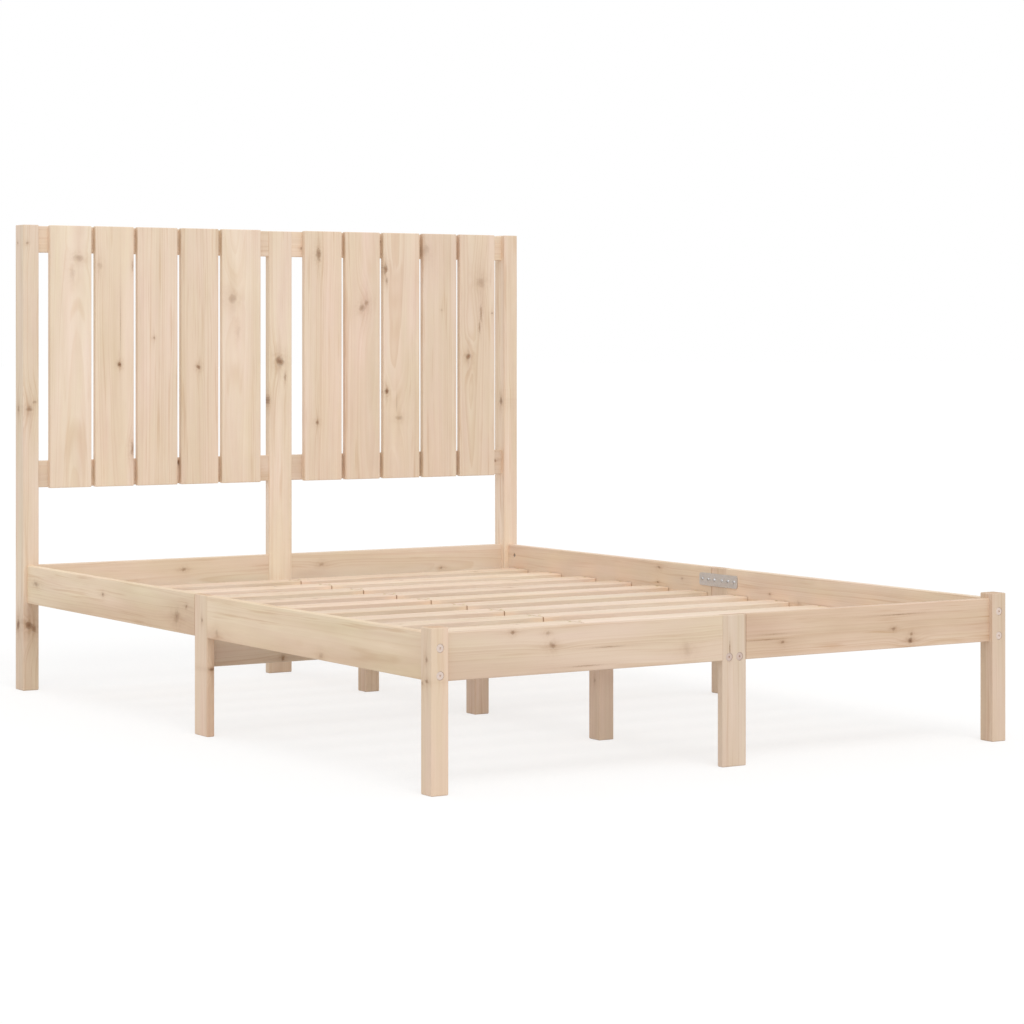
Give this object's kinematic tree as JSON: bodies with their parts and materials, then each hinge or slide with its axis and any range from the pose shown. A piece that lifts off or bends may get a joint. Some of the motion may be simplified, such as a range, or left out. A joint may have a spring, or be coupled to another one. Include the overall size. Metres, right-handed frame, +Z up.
{
  "type": "slatted double bed frame",
  "caption": "Pine double bed frame with a high headboard of upright boards, low rails, square corner legs, flat mid legs and slats on a centre beam.",
  "frame": {"origin": "on the floor, at the centre of the frame's outline seen from above", "axes": "+Z up, +Y from the foot end towards the headboard, +X to the right seen from the foot end"},
  "size_m": [1.405, 1.963, 1.12],
  "materials": {
    "pine_boards": "planed, bare",
    "pine_posts": "planed, bare",
    "pine_rails": "planed, bare",
    "pine_beams": "planed, bare",
    "pine_slats": "planed, bare",
    "bolt_steel": "zinc plated, dull",
    "nut_steel": "zinc plated, dull",
    "plate_steel": "zinc plated, dull"
  },
  "bodies": {
    "root": {"barrel_nuts": "nut_steel", "beam_bolts": "bolt_steel", "centre_beam_foot": "pine_beams", "centre_beam_head": "pine_beams", "centre_leg_foot": "pine_posts", "centre_leg_head": "pine_posts", "centre_leg_middle": "pine_posts", "cross_beam_left": "pine_beams", "cross_beam_right": "pine_beams", "foot_corner_leg_left": "pine_posts", "foot_corner_leg_right": "pine_posts", "foot_mid_leg": "pine_posts", "foot_rail_left": "pine_rails", "foot_rail_right": "pine_rails", "head_centre_post": "pine_posts", "head_end_rail_left": "pine_rails", "head_end_rail_right": "pine_rails", "head_post_left": "pine_posts", "head_post_right": "pine_posts", "headboard_board_01": "pine_boards", "headboard_board_02": "pine_boards", "headboard_board_03": "pine_boards", "headboard_board_04": "pine_boards", "headboard_board_05": "pine_boards", "headboard_board_06": "pine_boards", "headboard_board_07": "pine_boards", "headboard_board_08": "pine_boards", "headboard_board_09": "pine_boards", "headboard_board_10": "pine_boards", "headboard_low_rail_left": "pine_rails", "headboard_low_rail_right": "pine_rails", "headboard_top_rail_left": "pine_rails", "headboard_top_rail_right": "pine_rails", "joining_plates": "plate_steel", "leg_bolts": "bolt_steel", "post_bolts": "bolt_steel", "side_mid_leg_left": "pine_posts", "side_mid_leg_right": "pine_posts", "side_rail_left_foot": "pine_rails", "side_rail_left_head": "pine_rails", "side_rail_right_foot": "pine_rails", "side_rail_right_head": "pine_rails", "slat_ledger_left_foot": "pine_slats", "slat_ledger_left_head": "pine_slats", "slat_ledger_right_foot": "pine_slats", "slat_ledger_right_head": "pine_slats", "slat_row_01": "pine_slats", "slat_row_02": "pine_slats", "slat_row_03": "pine_slats", "slat_row_04": "pine_slats", "slat_row_05": "pine_slats", "slat_row_06": "pine_slats", "slat_row_07": "pine_slats", "slat_row_08": "pine_slats", "slat_row_09": "pine_slats", "slat_row_10": "pine_slats", "slat_row_11": "pine_slats", "slat_row_12": "pine_slats"}
  },
  "joints": []
}
